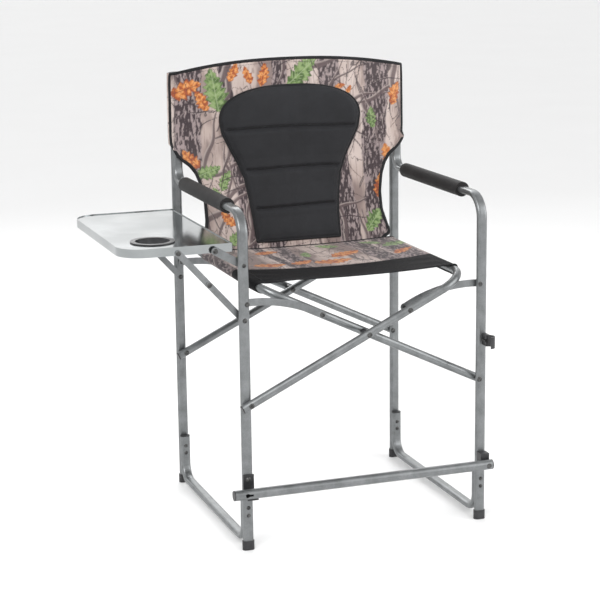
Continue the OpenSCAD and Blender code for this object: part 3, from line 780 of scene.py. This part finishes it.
def seat_path(samples):
    """Cross-section of the seat from under one rail, over the top, to under the other: (x, z)."""
    arc = np.radians(np.linspace(-38, -270, 26))
    left = np.stack([-RAIL_X + WRAP_R * np.cos(arc), RAIL_Z + WRAP_R * np.sin(arc)], 1)
    x = np.linspace(-RAIL_X, RAIL_X, samples)[1:-1]
    flat = np.stack([x, RAIL_Z + WRAP_R + 0 * x], 1)
    right = left[::-1] * (-1, 1)
    return np.vstack([left, flat, right])


def seat_sag(x, y):
    """How far the sling hangs below the rails, with soft ripples across."""
    t = np.clip(1 - (x / RAIL_X) ** 2, 0, 1)
    along = (y - SEAT_LOW[1]) / (SEAT_HIGH[1] - SEAT_LOW[1])
    sag = 9.0 * t * (0.5 + 0.75 * np.sin(math.pi * np.clip(along * 0.85 + 0.1, 0, 1)))
    ripple = 1.5 * (fbm(x / 90, y / 45 + 3, 311, 3) - 0.5) * t
    near_rail = np.exp(-((RAIL_X - np.abs(x)) / 55) ** 2)
    pull = 1.1 * np.sin(y / 9.0 + x / 60) * near_rail * t * 3
    return sag + ripple + pull


# The left rail's front bend: its radius, where it starts, and the way the bar runs on from it
ELBOW_R = 70.0
ELBOW_Y = 178.0
BAR_RUN, BAR_RISE = 0.90, 0.436
SLEEVE_EASE = 1.15


def elbow_slip(x, turn_in):
    """How far the sleeve slides along the bar to follow the bend."""
    slip = ELBOW_R - np.sqrt(ELBOW_R ** 2 - turn_in ** 2)
    return slip * smooth(-RAIL_X + 110, -RAIL_X + 14, x)


def make_seat():
    section = seat_path(230)
    y = np.linspace(SEAT_LOW[1] + 0.6, SEAT_HIGH[1] - 0.6, 200)
    x = section[:, 0][None, :] + 0 * y[:, None]
    yy = y[:, None] + 0 * x
    on_top = (np.abs(x) < RAIL_X) & (section[:, 1][None, :] > RAIL_Z)
    z = section[:, 1][None, :] - seat_sag(x, yy) * on_top
    turn_in = np.clip(-(yy + ELBOW_Y), 0, 60)
    slip = elbow_slip(x, turn_in)
    oval = 1 / np.sqrt(1 - (turn_in / ELBOW_R) ** 2) - 1
    off_axis = np.clip((x + RAIL_X) * BAR_RUN - (z - RAIL_Z) * BAR_RISE, -14, 14)
    slip = slip + off_axis * oval * SLEEVE_EASE * smooth(-RAIL_X + 30, -RAIL_X + 3, x)
    x = x + slip * BAR_RUN
    z = z - slip * BAR_RISE
    pts = np.stack([x * MM + CENTRE.x, yy * MM + CENTRE.y, z * MM], -1)
    obj = new_object("seat_sling", pts.reshape(-1, 3), grid_faces(*x.shape))
    run = np.concatenate([[0], np.cumsum(np.linalg.norm(np.diff(section, axis=0), axis=1))])
    across = (run - run[-1] / 2)[None, :] + 0 * x
    put_print(obj, across.ravel() * MM, (yy.ravel() - SEAT_LOW[1]) * MM)
    for m in (LOOKS["camo_fabric"], SEAT_BAND, BACKING, BACKING):
        obj.data.materials.append(m)
    faces_across = x.shape[1] - 1
    in_band = [int(y[i // faces_across] < SEAT_LOW[1] + BAND) for i in range(len(obj.data.polygons))]
    obj.data.polygons.foreach_set("material_index", in_band)
    solid = obj.modifiers.new("cloth", "SOLIDIFY")
    solid.thickness, solid.offset, solid.material_offset = 1.4 * MM, -1.0, 2
    bake_modifiers(obj)
    return obj, run[-1]


def seat_line(y, lift=0.0, margin=0.0, samples=120):
    """A line across the seat's top face at one depth."""
    x = np.linspace(-RAIL_X - margin, RAIL_X + margin, samples)
    z = RAIL_Z + WRAP_R - seat_sag(x, y + 0 * x) * (np.abs(x) < RAIL_X) + lift
    past = np.clip(np.abs(x) - RAIL_X, 0, WRAP_R - 0.5)
    z = z - WRAP_R + np.sqrt(WRAP_R ** 2 - past ** 2)
    turn_in = max(0.0, -(y + ELBOW_Y))
    slip = elbow_slip(x, turn_in)
    x = x + slip * BAR_RUN
    z = z - slip * BAR_RISE
    return [at(a, y, b) for a, b in zip(x, z)]


# ---- putting the sling together ----


def hang_on_posts(obj):
    """Parents the piece to the left frame's body and gives it a mesh of its own."""
    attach(obj, "left_frame")
    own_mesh(obj)


def stretch_on_rails(obj):
    """Bakes the piece's placement into its mesh."""
    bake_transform(obj)


back = make_back()
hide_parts("back_panel")
hang_on_posts(back)

left_line, top_line, right_line = back_edge()
outline = np.vstack([left_line, top_line[1:-1], right_line])
centre_of_back = np.array([0, 250, 860])
back_binding = make_binding("back_binding", outline, lambda p: (centre_of_back - p) * (1, 0, 1))
hang_on_posts(back_binding)

sleeve_tops = [sleeve_top(side) for side in (-1, 1)]
for top in sleeve_tops:
    hang_on_posts(top)

pad = make_pad()
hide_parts("back_pad")
hang_on_posts(pad)

pad_cord_line = pad_edge()
pad_cord = tube_along("pad_cord", [at(*p) for p in pad_cord_line], 3.1 * MM, closed=True)
pad_cord.data.materials.append(BINDING)
hang_on_posts(pad_cord)

seat, seat_run = make_seat()
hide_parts("seat_panel")
stretch_on_rails(seat)

front_y, rear_y = SEAT_LOW[1], SEAT_HIGH[1]
for name, edge_y in (("seat_front_hem", front_y + 1.8), ("seat_rear_hem", rear_y - 1.8)):
    hem = tube_along(name, resample(seat_line(edge_y, 0.5, 9), 2 * MM), 1.7 * MM)
    hem.data.materials.append(BINDING)
    stretch_on_rails(hem)

for k, depth in enumerate((BAND - 3, BAND + 4, 9)):
    row = stitch_row(f"seat_stitches_{k}", seat_line(front_y + depth, 0.25, -3), (0, 0, 1))
    row.data.materials.append(THREAD)
    stretch_on_rails(row)
for k, side in enumerate((-1, 1)):
    x = side * (RAIL_X - 17)
    ys = np.linspace(front_y + 4, rear_y - 4, 90)
    zs = RAIL_Z + WRAP_R - seat_sag(x + 0 * ys, ys) + 0.25
    row = stitch_row(f"sleeve_stitches_{k}", [at(x, a, b) for a, b in zip(ys, zs)], (0, 0, 1))
    row.data.materials.append(THREAD)
    stretch_on_rails(row)

STITCH_INSET = 0.965
v = np.linspace(0.02, 0.985, 200)
u = np.linspace(-STITCH_INSET, STITCH_INSET, 160)
stitch_lines = {
    "l": (-STITCH_INSET + 0 * v, v),
    "r": (STITCH_INSET + 0 * v, v),
    "t": (u, 0.975 + 0 * u),
}
for name, (a, b) in stitch_lines.items():
    x, y, z = back_point(a, b)
    row = stitch_row(f"back_stitches_0_{name}", [at(*p) for p in zip(x, y - 1.4, z)], (0, -1, 0))
    row.data.materials.append(THREAD)
    hang_on_posts(row)

# ---- floor, light and camera ----


def make_floor():
    size = 90.0
    corners = [(-size, -size, 0), (size, -size, 0), (size, size, 0), (-size, size, 0)]
    floor = new_object("floor", corners, [(0, 1, 2, 3)], False)
    m = Look("floor_paper", (0.86, 0.86, 0.86), 0.62)
    cloud = m.noise(1.5, 3)
    m.paint(m.mix(cloud, (0.90, 0.90, 0.90), (0.93, 0.93, 0.93)))
    floor.data.materials.append(m.material)


def make_light(name, place, target, size, power, tint=(1, 1, 1)):
    data = bpy.data.lights.new(name, "AREA")
    data.shape, data.size, data.energy, data.color = "SQUARE", size, power, tint
    light = bpy.data.objects.new(name, data)
    light.location = place
    light.rotation_euler = (Vector(target) - Vector(place)).to_track_quat("-Z", "Y").to_euler()
    bpy.context.scene.collection.objects.link(light)


def make_world():
    world = bpy.data.worlds.new("studio")
    bpy.context.scene.world = world
    world.use_nodes = True
    background = world.node_tree.nodes["Background"]
    background.inputs["Color"].default_value = (1, 1, 1, 1)
    tree = world.node_tree
    sky = tree.nodes.new("ShaderNodeTexCoord")
    panels = tree.nodes.new("ShaderNodeTexNoise")
    panels.inputs["Scale"].default_value = 1.7
    panels.inputs["Detail"].default_value = 0.0
    level = tree.nodes.new("ShaderNodeMapRange")
    for key, value in (("From Min", 0.42), ("From Max", 0.56), ("To Min", 0.50), ("To Max", 1.50)):
        level.inputs[key].default_value = value
    tree.links.new(sky.outputs["Generated"], panels.inputs["Vector"])
    tree.links.new(panels.outputs["Fac"], level.inputs["Value"])
    tree.links.new(level.outputs["Result"], background.inputs["Strength"])


def make_camera():
    """Long lens, a little above seat height, in front and to the viewer's left of the chair."""
    data = bpy.data.cameras.new("camera")
    data.sensor_width, data.lens = 36.0, 108.0
    data.clip_end = 300.0
    camera = bpy.data.objects.new("camera", data)
    yaw, pitch, roll = math.radians(19.38), math.radians(12.48), math.radians(-0.72)
    ahead = Vector((math.sin(yaw) * math.cos(pitch), math.cos(yaw) * math.cos(pitch), -math.sin(pitch)))
    right = Vector((math.cos(yaw), -math.sin(yaw), 0))
    up = right.cross(ahead)
    tilted = right * math.cos(roll) + up * math.sin(roll)
    up = up * math.cos(roll) - right * math.sin(roll)
    turn = Matrix((tilted, up, -ahead)).transposed()
    camera.matrix_world = Matrix.Translation(at(-1505, -4092, 1484)) @ turn.to_4x4()
    bpy.context.scene.collection.objects.link(camera)
    bpy.context.scene.camera = camera


make_floor()
make_world()
make_light("key", (-2.2, -2.6, 3.4), (0, 0, 0.7), 2.2, 95)
make_light("fill", (2.8, -1.8, 2.0), (0, 0, 0.6), 2.4, 38)
make_light("rim", (0.6, 2.8, 2.8), (0, 0, 0.8), 2.0, 40)
make_camera()
bpy.context.scene.view_settings.view_transform = "Standard"
